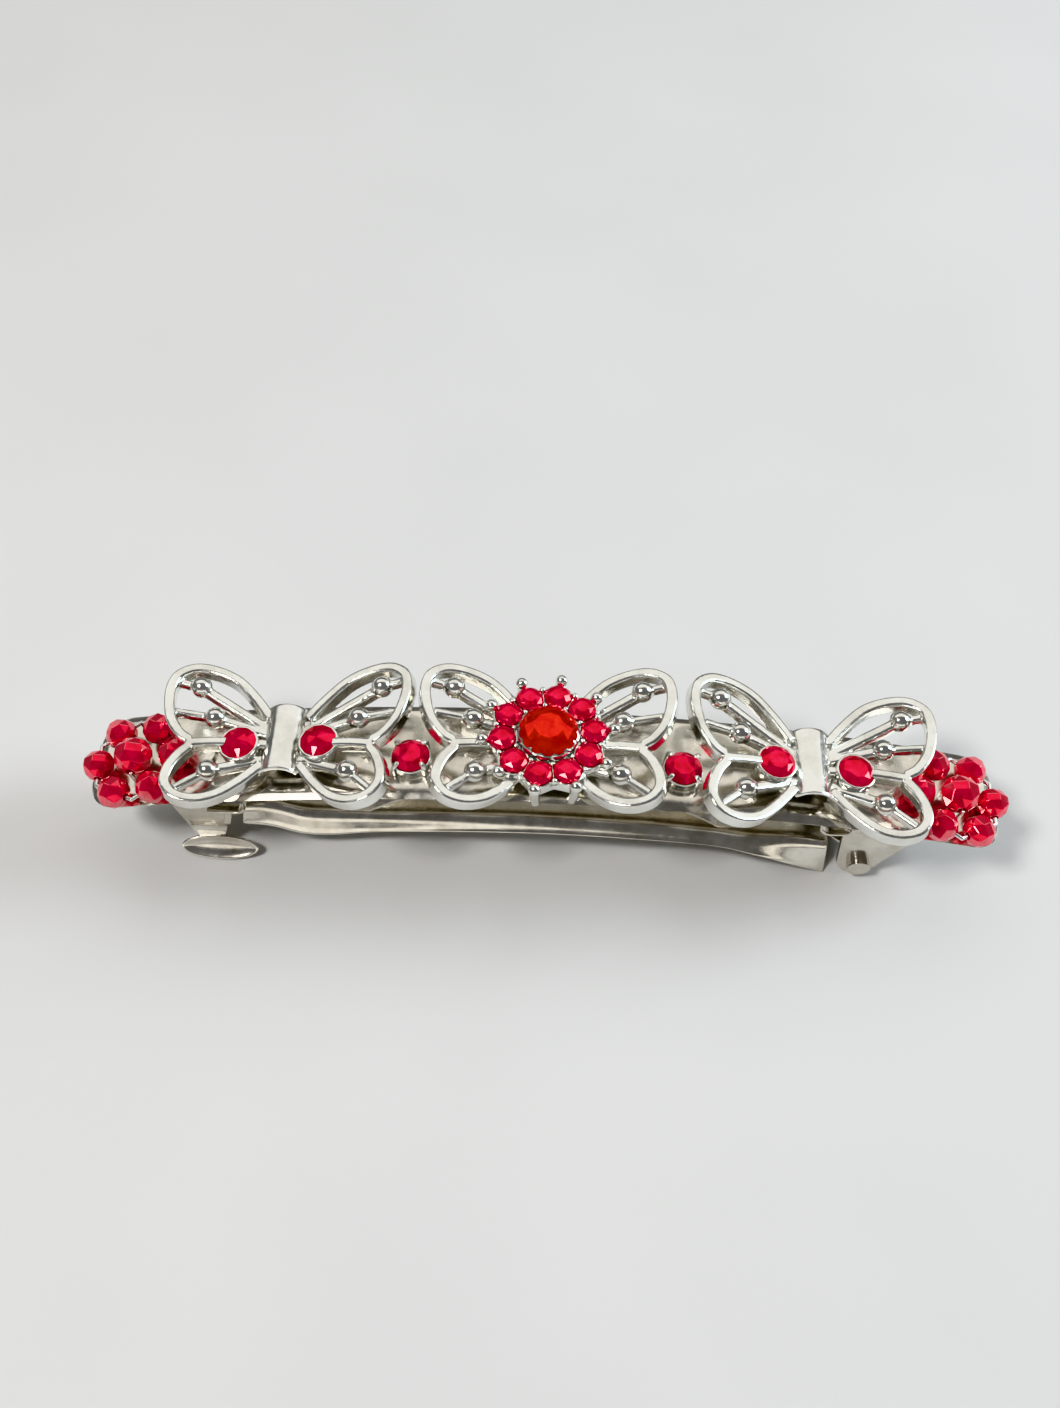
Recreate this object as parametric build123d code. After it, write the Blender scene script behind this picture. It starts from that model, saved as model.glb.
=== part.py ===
from build123d import *

import os
from math import asin, atan2, cos, degrees, hypot, pi, radians, sin, sqrt

os.makedirs("parts", exist_ok=True)

# A closed spring hair clip, standing on its finger tabs and its hinge.
# Millimetres. +X runs along the clip to the hinge end, -Y is the front side,
# +Z is up, and z = 0 is the surface that the clip stands on.

# --- Arched top plate ---
PLATE_LENGTH = 80.0
PLATE_WIDTH = 9.4
PLATE_THICK = 0.6
PLATE_CORNER = 2.6
ARCH_RADIUS = 167.0          # of the plate's underside
APEX_Z = 10.6                # underside of the plate at mid length
BEVEL_DROP = 0.25
BEVEL_WIDTH = 0.7
DECK_RADIUS = ARCH_RADIUS + PLATE_THICK
CRAFT_HOLE_X = 24.0
CRAFT_HOLE_Y = 1.75
CRAFT_HOLE_RADIUS = 0.75

# --- Hinge ---
HINGE_X = 28.4
HINGE_Z = 1.9
PIN_RADIUS = 0.7
PIN_CLEARANCE = 0.05
PIN_HEAD_RADIUS = 1.05
PIN_HEAD_LENGTH = 0.7
HINGE_EAR_INNER = 3.6
HINGE_EAR_THICK = 0.5
HINGE_EAR_RADIUS = 1.9
HINGE_EAR_LEFT = 25.9        # where the ear leaves the plate
HINGE_EAR_RIGHT = 33.3

# --- Lever arm: a folded channel, open below ---
SHEET = 0.45
KNUCKLE_RADIUS = 1.2
KNUCKLE_HALF = 2.9
NOSE_X = -30.4
NOSE_HALF = 2.6
NOSE_CORNER = 1.0
SEAT_X = 15.0                # the flats that the spring's feet stand on
SEAT_Z = 3.8
CHEEK_X = -26.9
LEVER_END_X = 25.6
# Each station: x, half width and height of the fold, half width and height of the lip.
LEVER_STATIONS = [
    (CHEEK_X, NOSE_HALF, 4.7, 3.5, 2.9),
    (-24.3, 2.7, 5.2, 3.8, 3.2),
    (-21.5, 2.7, 4.1, 3.85, 2.15),
    (-18.8, 2.6, SEAT_Z, 3.7, 1.9),
    (-SEAT_X, 2.6, SEAT_Z, 3.4, 2.2),
    (-7.0, 2.6, 4.3, 3.4, 3.0),
    (0.0, 2.6, 4.5, 3.4, 3.35),
    (7.0, 2.6, 4.3, 3.4, 3.2),
    (SEAT_X, 2.6, SEAT_Z, 3.5, 2.8),
    (18.8, 3.0, SEAT_Z, 4.1, 2.6),
    (22.9, 3.0, 3.5, 4.2, 1.0),
    (LEVER_END_X, 3.0, HINGE_Z + KNUCKLE_RADIUS, 4.2, 0.05),
]

# --- Tension spring: a bowed leaf above the lever ---
SPRING_HALF_WIDTH = 2.3
SPRING_THICK = 0.3
SPRING_APEX_Z = 10.1
SPRING_FOOT_INNER = 15.6
SPRING_FOOT_OUTER = 17.8
SPRING_RIVET_X = 16.7
SPRING_RIVET_RADIUS = 0.5
SPRING_HEAD_RADIUS = 0.85
SPRING_HEAD_THICK = 0.25

# --- Latch ---
LATCH_LEFT_X = -32.8
LATCH_RIGHT_X = -27.8
LATCH_HALF_WIDTH = 3.9
LATCH_THICK = 0.5
LATCH_GAP = 0.1
LATCH_RIVET_X = -30.3
LATCH_RIVET_RADIUS = 0.9
LATCH_HEAD_RADIUS = 1.4
LATCH_HEAD_THICK = 0.35
EAR_THICK = 0.3
EAR_FOOT_LEFT = -31.7
EAR_FOOT_RIGHT = -28.3
LEDGE_LEFT = -28.6
LEDGE_RIGHT = -26.1
LEDGE_Z = 6.5
LEDGE_REACH = 0.7
HOOK_REACH = 0.4
HOOK_Z = 3.5
TAB_X = -29.0
TAB_LENGTH = 6.95
TAB_HEIGHT = 2.4
TAB_THICK = 0.3
TAB_RIM = 0.35
TAB_DISH = 0.12
TAB_FLARE = radians(38.0)
TAB_DROP = 1.9               # from the bend at the ear's foot to the tab's centre
EAR_FOOT_Z = cos(TAB_FLARE) * (TAB_DROP + TAB_HEIGHT / 2) + sin(TAB_FLARE) * TAB_THICK / 2

# --- Butterflies ---
SIDE_BUTTERFLY_X = 22.65
WING_LIFT = 0.9              # underside above the plate
WING_THICK = 1.2
WING_SPREAD = 1.045           # the outline's widening, along the clip
WING_DIHEDRAL = 11.8
RIM_WIDTH = 0.9
VEIN_WIDTH = 0.7
VEIN_THICK = 0.85
BALL_RADIUS = 0.75
BALL_DOME = 0.5
STEM_RADIUS = 0.85
BRIDGE_WIDTH = 4.2
BRIDGE_LENGTH = 4.8
BAND_HALF_WIDTH = 1.75
BAND_RISE = 1.15
BAND_THICK = 0.35
BAND_LENGTH = 6.6
BAND_LIFT = 1.5

# --- Rhinestones and their cups ---
STONE_SIDES = 16
CROWN_SHARE = 0.32           # heights and widths as shares of the stone's radius
PAVILION_SHARE = 0.55
TABLE_SHARE = 0.58
CULET_SHARE = 0.15
GIRDLE_SHARE = 0.08
SEAT_PLAY = 0.01
CUP_WALL = 0.14
CUP_FLOOR = 0.3
CLAWS = 4
CLAW_RADIUS = 0.24
WING_STONE_RADIUS = 1.6
WING_STONE_U = 3.5
WING_STONE_V = -0.65
WING_CUP_LIFT = 1.4
SINGLE_X = 11.6
SINGLE_Y = -1.15
SINGLE_RADIUS = 1.6
SINGLE_CUP_HEIGHT = 1.0

# --- Flower on the middle butterfly ---
PETALS = 10
FLOWER_TURN = 8.0
FLOWER_LIFT = 1.9
FLOWER_THICK = 1.3
FLOWER_TOP = FLOWER_LIFT + FLOWER_THICK
POINT_RADIUS = 5.6
NOTCH_RADIUS = 4.75
POINT_BALL_RADIUS = 0.5
LEG_POINTS = (2, 3, 7, 8)     # the points that stand clear of the wings
LEG_PITCH = 5.0
LEG_RADIUS = 0.45
LEG_FOOT_LIFT = 0.2
RING_PITCH = 3.9
RING_STONE_RADIUS = 1.16
RING_SEAT_DEPTH = 0.6
CENTRE_STONE_RADIUS = 2.5
CENTRE_CUP_DEPTH = 1.1
CENTRE_CUP_RISE = 0.45

# --- Bead flowers at the two ends ---
BEAD_FLOWER_X = 35.42
BEAD_FLOWER_Y = -1.1
BEAD_FLOWER_TURNS = {"left": -5.0, "right": 0.0}
BEADS = 6
BEAD_RING = 3.45
BEAD_LIFT = 1.44
BEAD_RADIUS = 1.42
BEAD_SIDES = 8
BEAD_PROFILE = [(0.28, 0.965), (0.77, 0.635), (1.0, 0.3)]  # radius, distance from the middle
CENTRE_BEAD_SCALE = 1.2
CENTRE_BEAD_LIFT = 2.15
WIRE_RADIUS = 0.18
WIRE_PLAY = 0.06
WIRE_FOOT_ANGLES = (pi / 2, -pi / 6)      # the ring's corners that are tied to the plate

# Half of a butterfly, from its middle outwards: the forewing, then the hindwing.
FOREWING = [
    (1.5, 2.4), (2.9, 4.2), (4.85, 6.1), (7.0, 7.0), (8.95, 7.05), (10.4, 6.1),
    (10.9, 4.65), (10.8, 2.85), (10.25, 0.9), (9.2, -0.6), (8.2, -1.25),
]
HINDWING = [
    (8.2, -1.25), (9.0, -2.4), (9.6, -4.0), (9.55, -5.5), (8.6, -6.7), (6.9, -7.1),
    (5.0, -6.5), (3.2, -4.9), (1.5, -2.8),
]
WING_DIVIDER = [(8.2, -1.25), (5.5, -0.75), (1.5, -0.5)]
# Each vein: root, ball and where it meets the rim.
VEINS = [
    [(1.5, 1.0), (8.1, 4.9), (10.3, 5.3)],
    [(1.5, 0.6), (6.4, 1.85), (10.3, 2.1)],
    [(1.5, -1.8), (6.1, -3.55), (8.8, -6.0)],
]


def arch_z(x, radius=ARCH_RADIUS):
    """Height at x of an arch that shares the plate's centre."""
    return APEX_Z - ARCH_RADIUS + sqrt(radius**2 - x**2)


def deck(x, y=0.0):
    """The plane touching the plate's top at x, square to the arch."""
    tilt = asin(x / DECK_RADIUS)
    origin = (x, y, arch_z(x, DECK_RADIUS))
    return Plane(origin=origin, x_dir=(cos(tilt), 0, -sin(tilt)), z_dir=(sin(tilt), 0, cos(tilt)))


def from_side(outline, half_width):
    """An outline in x and z, made solid from -half_width to +half_width in y."""
    plane = Plane(origin=(0, half_width, 0), x_dir=(1, 0, 0), z_dir=(0, -1, 0))
    return extrude(plane * outline, 2 * half_width)


def bend(section, x0, x1):
    """A section in y and z, swept along the plate's arch from x0 to x1."""
    axis = Axis((0, 0, APEX_Z - ARCH_RADIUS), (0, 1, 0))
    start = degrees(asin(x0 / ARCH_RADIUS))
    end = degrees(asin(x1 / ARCH_RADIUS))
    return revolve((Plane.YZ * section).rotate(axis, start), axis, end - start)


def bar(start, end, width):
    """A flat rectangle along the line from start to end."""
    run = Vector(*end) - Vector(*start)
    middle = Pos((start[0] + end[0]) / 2, (start[1] + end[1]) / 2)
    return middle * Rot(0, 0, degrees(atan2(run.Y, run.X))) * Rectangle(run.length, width)


def rod(start, end, radius):
    """A round bar from start to end."""
    axis = Vector(*end) - Vector(*start)
    return extrude(Plane(origin=start, z_dir=axis) * Circle(radius), axis.length)


def drum(radius, low, high):
    """An upright cylinder between two heights."""
    return Pos(0, 0, low) * Cylinder(radius, high - low, align=(Align.CENTER, Align.CENTER, Align.MIN))


def facets(profile, sides):
    """A faceted solid through regular polygons, one for each (radius, height)."""
    rings = [Pos(0, 0, height) * RegularPolygon(radius, sides) for radius, height in profile]
    return loft(rings, ruled=True)


def both_ends(shape):
    """A shape and its mirror image at the other end of the clip."""
    return shape + mirror(shape, about=Plane.YZ)


def save(shape, name):
    export_step(shape, f"parts/{name}.step")


# ------------------------------------------------------------ plate and hinge

def hinge_ear():
    """One cheek of the hinge, from the plate down round the pin."""
    middle = PLATE_THICK / 2
    pin = Pos(HINGE_X, HINGE_Z)
    web = Polygon(
        (HINGE_EAR_LEFT, arch_z(HINGE_EAR_LEFT) + middle),
        (HINGE_X - HINGE_EAR_RADIUS, HINGE_Z),
        (HINGE_X + HINGE_EAR_RADIUS, HINGE_Z),
        (HINGE_EAR_RIGHT, arch_z(HINGE_EAR_RIGHT) + middle),
        align=None,
    )
    ear = from_side(web + pin * Circle(HINGE_EAR_RADIUS) - pin * Circle(PIN_RADIUS), HINGE_EAR_THICK / 2)
    return Pos(0, HINGE_EAR_INNER + HINGE_EAR_THICK / 2, 0) * ear


def on_end(side, shape):
    """A bead flower's piece, put at one end of the clip; the left end is a mirror image."""
    placed = deck(BEAD_FLOWER_X, BEAD_FLOWER_Y) * Rot(0, 0, BEAD_FLOWER_TURNS[side]) * shape
    return placed if side == "right" else mirror(placed, about=Plane.YZ)


def wire_feet():
    """Where a bead flower's wire goes down: two under the ring, two beside the centre bead."""
    corner = BEAD_RING / cos(pi / BEADS)
    inner = BEAD_RADIUS * CENTRE_BEAD_SCALE + WIRE_RADIUS / 2
    ring = [(corner * cos(angle), corner * sin(angle)) for angle in WIRE_FOOT_ANGLES]
    return ring, [(0, inner), (0, -inner)]


def wire_holes():
    """The plate's holes for one bead flower's wire."""
    ring, inner = wire_feet()
    hole = drum(WIRE_RADIUS + WIRE_PLAY, -2 * PLATE_THICK, PLATE_THICK)
    return Part() + [Pos(u, v, 0) * hole for u, v in ring + inner]


def top_plate():
    """The arched plate with bevelled sides and the two hinge ears folded from it."""
    half = PLATE_WIDTH / 2
    shoulder = APEX_Z + PLATE_THICK - BEVEL_DROP
    flat = half - BEVEL_WIDTH
    section = Polygon(
        (-half, APEX_Z),
        (half, APEX_Z),
        (half, shoulder),
        (flat, APEX_Z + PLATE_THICK),
        (-flat, APEX_Z + PLATE_THICK),
        (-half, shoulder),
        align=None,
    )
    strip = bend(section, -PLATE_LENGTH / 2 - PLATE_THICK, PLATE_LENGTH / 2 + PLATE_THICK)
    strip &= extrude(RectangleRounded(PLATE_LENGTH, PLATE_WIDTH, PLATE_CORNER), 2 * APEX_Z)
    hole = Pos(CRAFT_HOLE_X, CRAFT_HOLE_Y, APEX_Z) * Cylinder(CRAFT_HOLE_RADIUS, APEX_Z)
    strip -= both_ends(hole + mirror(hole, about=Plane.XZ))
    for side in BEAD_FLOWER_TURNS:
        strip -= on_end(side, wire_holes())
    strip -= deck(LATCH_RIVET_X) * drum(LATCH_RIVET_RADIUS, -2 * PLATE_THICK, PLATE_THICK)
    ear = hinge_ear()
    return strip + ear + mirror(ear, about=Plane.XZ)


def hinge_pin():
    """The pin through both ears, with a flattened head at each end."""
    reach = HINGE_EAR_INNER + HINGE_EAR_THICK
    place = Pos(HINGE_X, HINGE_Z)
    shank = from_side(place * Circle(PIN_RADIUS), reach)
    heads = from_side(place * Circle(PIN_HEAD_RADIUS), reach + PIN_HEAD_LENGTH)
    return heads - from_side(place * Circle(PIN_HEAD_RADIUS), reach) + shank


# ------------------------------------------------------------ lever and spring

def lever_section(x, fold_half, fold_z, lip_half, lip_z):
    """The folded sheet's outline at one station, open below."""
    wall = SHEET * hypot(lip_half - fold_half, fold_z - lip_z) / (fold_z - lip_z)
    outline = Polygon(
        (-lip_half, lip_z),
        (-fold_half, fold_z),
        (fold_half, fold_z),
        (lip_half, lip_z),
        (lip_half - wall, lip_z),
        (fold_half - wall / 2, fold_z - SHEET),
        (wall / 2 - fold_half, fold_z - SHEET),
        (wall - lip_half, lip_z),
        align=None,
    )
    return Plane(origin=(x, 0, 0), x_dir=(0, 1, 0), z_dir=(1, 0, 0)) * outline


def spring_rivet_places():
    return [Pos(-SPRING_RIVET_X, 0, SEAT_Z), Pos(SPRING_RIVET_X, 0, SEAT_Z)]


def lever_arm():
    """The arm that swings down from the hinge to open the clip."""
    channel = loft([lever_section(*station) for station in LEVER_STATIONS], ruled=True)
    nose_top = LEVER_STATIONS[0][2]
    nose = Pos((NOSE_X + CHEEK_X) / 2, 0, nose_top - SHEET) * extrude(
        RectangleRounded(CHEEK_X - NOSE_X, 2 * NOSE_HALF, NOSE_CORNER), SHEET
    )
    root = Box(NOSE_CORNER + SHEET, 2 * NOSE_HALF, SHEET)
    nose += Pos(CHEEK_X - NOSE_CORNER / 2, 0, nose_top - SHEET / 2) * root
    pin = Pos(HINGE_X, HINGE_Z)
    length = HINGE_X - LEVER_END_X + SHEET
    tongue = Pos(HINGE_X - length / 2, HINGE_Z + KNUCKLE_RADIUS - SHEET / 2) * Rectangle(length, SHEET)
    curl = tongue + pin * Circle(KNUCKLE_RADIUS) - pin * Circle(PIN_RADIUS + PIN_CLEARANCE)
    arm = channel + nose + from_side(curl, KNUCKLE_HALF)
    for place in spring_rivet_places():
        arm -= place * drum(SPRING_RIVET_RADIUS, -2 * SHEET, SHEET)
    return arm


def tension_spring():
    """The bowed leaf that pushes the hair up against the plate."""
    low = SEAT_Z
    top = SEAT_Z + SPRING_THICK
    inner, outer = SPRING_FOOT_INNER, SPRING_FOOT_OUTER
    over = ThreePointArc((-inner, top), (0, SPRING_APEX_Z), (inner, top))
    under = ThreePointArc((inner, low), (0, SPRING_APEX_Z - SPRING_THICK), (-inner, low))
    leaf = make_face(over + Line(over @ 1, under @ 0) + under + Line(under @ 1, over @ 0))
    foot = Pos((inner + outer) / 2, (low + top) / 2) * Rectangle(outer - inner, SPRING_THICK)
    spring = from_side(leaf + foot + mirror(foot, about=Plane.YZ), SPRING_HALF_WIDTH)
    for place in spring_rivet_places():
        spring -= place * drum(SPRING_RIVET_RADIUS, -SHEET, 2 * SHEET)
    return spring


def spring_rivets():
    """The two rivets that hold the spring's feet to the lever."""
    head = SPRING_HEAD_THICK
    shank = drum(SPRING_RIVET_RADIUS, -SHEET, SPRING_THICK)
    upper = drum(SPRING_HEAD_RADIUS, SPRING_THICK, SPRING_THICK + head)
    lower = drum(SPRING_HEAD_RADIUS, -SHEET - head, -SHEET)
    return Part() + [place * (shank + upper + lower) for place in spring_rivet_places()]


# ------------------------------------------------------------ latch

def latch_base():
    """The latch's saddle, bent to lie under the plate."""
    middle = Pos(0, APEX_Z - LATCH_THICK / 2)
    saddle = bend(middle * Rectangle(2 * LATCH_HALF_WIDTH, LATCH_THICK), LATCH_LEFT_X, LATCH_RIGHT_X)
    return saddle - deck(LATCH_RIVET_X) * drum(LATCH_RIVET_RADIUS, -3 * PLATE_THICK, 0)


def latch_rivet():
    """The rivet through the plate and the latch's saddle."""
    under = -PLATE_THICK - LATCH_THICK
    rivet = drum(LATCH_RIVET_RADIUS, under, 0)
    rivet += drum(LATCH_HEAD_RADIUS, 0, LATCH_HEAD_THICK)
    rivet += drum(LATCH_HEAD_RADIUS, under - LATCH_HEAD_THICK, under)
    return deck(LATCH_RIVET_X) * rivet


def latch_ear():
    """The front catch ear: wall, hook and the oval tab that a finger pinches."""
    outside = -LATCH_HALF_WIDTH
    top = -LATCH_THICK - LATCH_GAP + ARCH_RADIUS
    wall = Polygon(
        (LATCH_LEFT_X, arch_z(LATCH_LEFT_X, top)),
        (EAR_FOOT_LEFT, EAR_FOOT_Z),
        (EAR_FOOT_RIGHT, EAR_FOOT_Z),
        (LATCH_RIGHT_X, arch_z(LATCH_RIGHT_X, top)),
        align=None,
    )
    ear = Pos(0, outside + EAR_THICK / 2, 0) * from_side(wall, EAR_THICK / 2)
    ledge = Box(LEDGE_RIGHT - LEDGE_LEFT, LEDGE_REACH, EAR_THICK)
    ear += Pos((LEDGE_LEFT + LEDGE_RIGHT) / 2, outside - LEDGE_REACH / 2, LEDGE_Z) * ledge
    hook = Polygon(
        (LATCH_RIGHT_X - 2 * EAR_THICK, LEDGE_Z),
        (LATCH_RIGHT_X - EAR_THICK, HOOK_Z),
        (LATCH_RIGHT_X, HOOK_Z),
        (LATCH_RIGHT_X + EAR_THICK, LEDGE_Z),
        align=None,
    )
    hook_place = Pos(0, outside - HOOK_REACH / 2 + EAR_THICK / 2, 0)
    ear += hook_place * from_side(hook, (HOOK_REACH + EAR_THICK) / 2)
    tab_plane = Plane(
        origin=(TAB_X, outside + EAR_THICK / 2, EAR_FOOT_Z),
        x_dir=(1, 0, 0),
        z_dir=(0, -cos(TAB_FLARE), sin(TAB_FLARE)),
    )
    tab = Pos(0, -TAB_DROP) * Ellipse(TAB_LENGTH / 2, TAB_HEIGHT / 2)
    neck_middle = (EAR_FOOT_LEFT + EAR_FOOT_RIGHT) / 2 - TAB_X
    neck = Pos(neck_middle, -TAB_DROP / 2) * Rectangle(EAR_FOOT_RIGHT - EAR_FOOT_LEFT, TAB_DROP)
    dish = Pos(0, -TAB_DROP) * Ellipse(TAB_LENGTH / 2 - TAB_RIM, TAB_HEIGHT / 2 - TAB_RIM)
    sheet = Pos(0, 0, -TAB_THICK / 2) * extrude(tab + neck, TAB_THICK)
    sheet -= Pos(0, 0, TAB_THICK / 2 - TAB_DISH) * extrude(dish, TAB_THICK)
    return ear + tab_plane * sheet


# ------------------------------------------------------------ butterflies

def spread(points):
    """The drawn half outline, widened away from where the wings meet the body."""
    root = FOREWING[0][0]
    return [(root + (u - root) * WING_SPREAD, v) for u, v in points]


def wing_outline():
    """Half of the butterfly's outline, seen from above."""
    fore = spread(FOREWING)
    hind = spread(HINDWING)
    return make_face(Spline(*fore) + Spline(*hind) + Line(hind[-1], fore[0]))


def inset(loop, distance):
    """A closed loop's points, each moved inwards, for a loop that runs clockwise."""
    moved = []
    for before, point, after in zip(loop[-1:] + loop[:-1], loop, loop[1:] + loop[:1]):
        run = (after[0] - before[0], after[1] - before[1])
        length = hypot(*run)
        moved.append((point[0] + distance * run[1] / length, point[1] - distance * run[0] / length))
    return moved


def wing_openings():
    """The two open windows of one side's wings, a rim's width inside the outline."""
    joint, middle, root = spread(WING_DIVIDER)
    fore = inset(spread(FOREWING[:-1]) + [joint, middle, root], RIM_WIDTH)
    hind = inset(spread(HINDWING[1:]) + [root, middle, joint], RIM_WIDTH)
    return [make_face(Spline(*loop, periodic=True)) for loop in (fore, hind)]


def stud():
    """The domed button on a vein, rising a little above the rim."""
    dome = Cone(BALL_RADIUS, BALL_RADIUS / 2, BALL_DOME, align=(Align.CENTER, Align.CENTER, Align.MIN))
    return drum(BALL_RADIUS, 0, VEIN_THICK) + Pos(0, 0, VEIN_THICK) * dome


def half_casting():
    """One side's wings as an open frame: rim, divider, veins and their balls."""
    whole = wing_outline()
    openings = wing_openings()
    windows = Sketch() + openings
    for vein in VEINS:
        start, ball, end = spread(vein)
        windows -= bar(start, ball, VEIN_WIDTH)
        windows -= bar(ball, end, VEIN_WIDTH)
    half = extrude(whole - windows, VEIN_THICK)
    half += Pos(0, 0, VEIN_THICK) * extrude(whole - openings, WING_THICK - VEIN_THICK)
    for vein in VEINS:
        half += Pos(*spread(vein)[1]) * stud()
    hinge_line = Pos(FOREWING[0][0], 0, 0)
    return hinge_line * Rot(0, -WING_DIHEDRAL, 0) * hinge_line.inverse() * half


def casting():
    """Both pairs of wings, joined by a low bridge."""
    half = half_casting()
    bridge = extrude(Rectangle(BRIDGE_WIDTH, BRIDGE_LENGTH), BAND_LIFT - WING_LIFT)
    return Pos(0, 0, WING_LIFT) * (half + mirror(half, about=Plane.YZ) + bridge)


def band_outline(inset):
    """The arch of a butterfly's band, seen from its end."""
    half = BAND_HALF_WIDTH - inset
    rise = BAND_RISE - inset
    arch = ThreePointArc((-half, BAND_LIFT), (0, BAND_LIFT + rise), (half, BAND_LIFT))
    return make_face(arch + Line(arch @ 1, arch @ 0))


def band():
    """The barrel-shaped band over the middle of a side butterfly."""
    return from_side(band_outline(0) - band_outline(BAND_THICK), BAND_LENGTH / 2)


def stem():
    """The post that holds a butterfly above the plate."""
    return drum(STEM_RADIUS, 0, WING_LIFT)


def wing_stone_places():
    return [Pos(-WING_STONE_U, WING_STONE_V, WING_CUP_LIFT), Pos(WING_STONE_U, WING_STONE_V, WING_CUP_LIFT)]


def side_wings():
    """A side butterfly's casting, with room for its band and its two cups."""
    wings = casting() - from_side(band_outline(0), BAND_LENGTH / 2)
    for place in wing_stone_places():
        wings -= place * drum(WING_STONE_RADIUS + SEAT_PLAY + CUP_WALL, 0, 2 * WING_THICK)
    return wings


def stone(radius):
    """A round brilliant, its girdle at height 0."""
    girdle = GIRDLE_SHARE / 2
    shares = [
        (CULET_SHARE, -PAVILION_SHARE),
        (1.0, -girdle),
        (1.0, girdle),
        (TABLE_SHARE, CROWN_SHARE),
    ]
    return facets([(radius * width, radius * height) for width, height in shares], STONE_SIDES)


def cup(radius, height, floor):
    """A round cup that takes a stone of this radius."""
    bore = radius + SEAT_PLAY
    return drum(bore + CUP_WALL, 0, height) - drum(bore, floor, 2 * height)


def wing_cup():
    return cup(WING_STONE_RADIUS, CUP_FLOOR + PAVILION_SHARE * WING_STONE_RADIUS, CUP_FLOOR)


def wing_stone():
    return Pos(0, 0, CUP_FLOOR + PAVILION_SHARE * WING_STONE_RADIUS) * stone(WING_STONE_RADIUS)


def single_cup():
    """A cup on the plate, with claws over the edge of its stone."""
    seat = SINGLE_CUP_HEIGHT - PAVILION_SHARE * SINGLE_RADIUS
    claw = drum(CLAW_RADIUS, 0, SINGLE_CUP_HEIGHT + CLAW_RADIUS)
    claw = Pos(SINGLE_RADIUS + SEAT_PLAY + CLAW_RADIUS, 0, 0) * claw
    claws = [Rot(0, 0, 45 + 360 / CLAWS * k) * claw for k in range(CLAWS)]
    return cup(SINGLE_RADIUS, SINGLE_CUP_HEIGHT, seat) + claws


def single_stone():
    return Pos(0, 0, SINGLE_CUP_HEIGHT) * stone(SINGLE_RADIUS)


# ------------------------------------------------------------ middle flower

def petal_turn(k):
    return Rot(0, 0, 360 / PETALS * k + FLOWER_TURN)


def petal_place(k, height):
    """The place of the flower's k-th small stone."""
    return petal_turn(k) * Pos(RING_PITCH, 0, height)


def flower_setting():
    """The ten-pointed setting, with a seat for each stone."""
    star = Sketch() + Polygon(
        *[
            (radius * cos(angle), radius * sin(angle))
            for k in range(PETALS)
            for radius, angle in (
                (POINT_RADIUS, 2 * pi * k / PETALS),
                (NOTCH_RADIUS, 2 * pi * (k + 0.5) / PETALS),
            )
        ],
        align=None,
    )
    setting = Pos(0, 0, FLOWER_LIFT) * Rot(0, 0, FLOWER_TURN) * extrude(star, FLOWER_THICK)
    seat = drum(RING_STONE_RADIUS + SEAT_PLAY, FLOWER_TOP - RING_SEAT_DEPTH, 2 * FLOWER_TOP)
    for k in range(PETALS):
        setting -= petal_place(k, 0) * seat
        turn = petal_turn(k)
        setting += turn * Pos(POINT_RADIUS, 0, FLOWER_TOP) * Sphere(POINT_BALL_RADIUS)
        if k in LEG_POINTS:
            setting += turn * Pos(LEG_PITCH, 0, 0) * drum(LEG_RADIUS, LEG_FOOT_LIFT, FLOWER_LIFT)
    bore = CENTRE_STONE_RADIUS + SEAT_PLAY + CUP_WALL
    return setting - drum(bore, FLOWER_TOP - CENTRE_CUP_DEPTH, 2 * FLOWER_TOP)


def centre_cup():
    depth = CENTRE_CUP_DEPTH + CENTRE_CUP_RISE
    seat = depth - PAVILION_SHARE * CENTRE_STONE_RADIUS
    return Pos(0, 0, FLOWER_TOP - CENTRE_CUP_DEPTH) * cup(CENTRE_STONE_RADIUS, depth, seat)


def centre_wings():
    """The middle butterfly's casting, cut flat where the flower sits on it."""
    reach = POINT_RADIUS + POINT_BALL_RADIUS + SEAT_PLAY
    return casting() - drum(reach, FLOWER_LIFT, 2 * FLOWER_TOP)


# ------------------------------------------------------------ bead flowers

def bead():
    """A faceted bead with a wire hole along its axis."""
    half = [(BEAD_RADIUS * width, BEAD_RADIUS * height) for width, height in BEAD_PROFILE]
    profile = [(radius, -height) for radius, height in half] + half[::-1]
    hole = drum(WIRE_RADIUS + WIRE_PLAY, -2 * BEAD_RADIUS, 2 * BEAD_RADIUS)
    return facets(profile, BEAD_SIDES) - hole


def bead_at(angle, radius, height, size=1.0):
    """A bead threaded along the ring at this angle."""
    origin = (radius * cos(angle), radius * sin(angle), height)
    plane = Plane(origin=origin, x_dir=(cos(angle), sin(angle), 0), z_dir=(-sin(angle), cos(angle), 0))
    return plane * scale(bead(), size)


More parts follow.
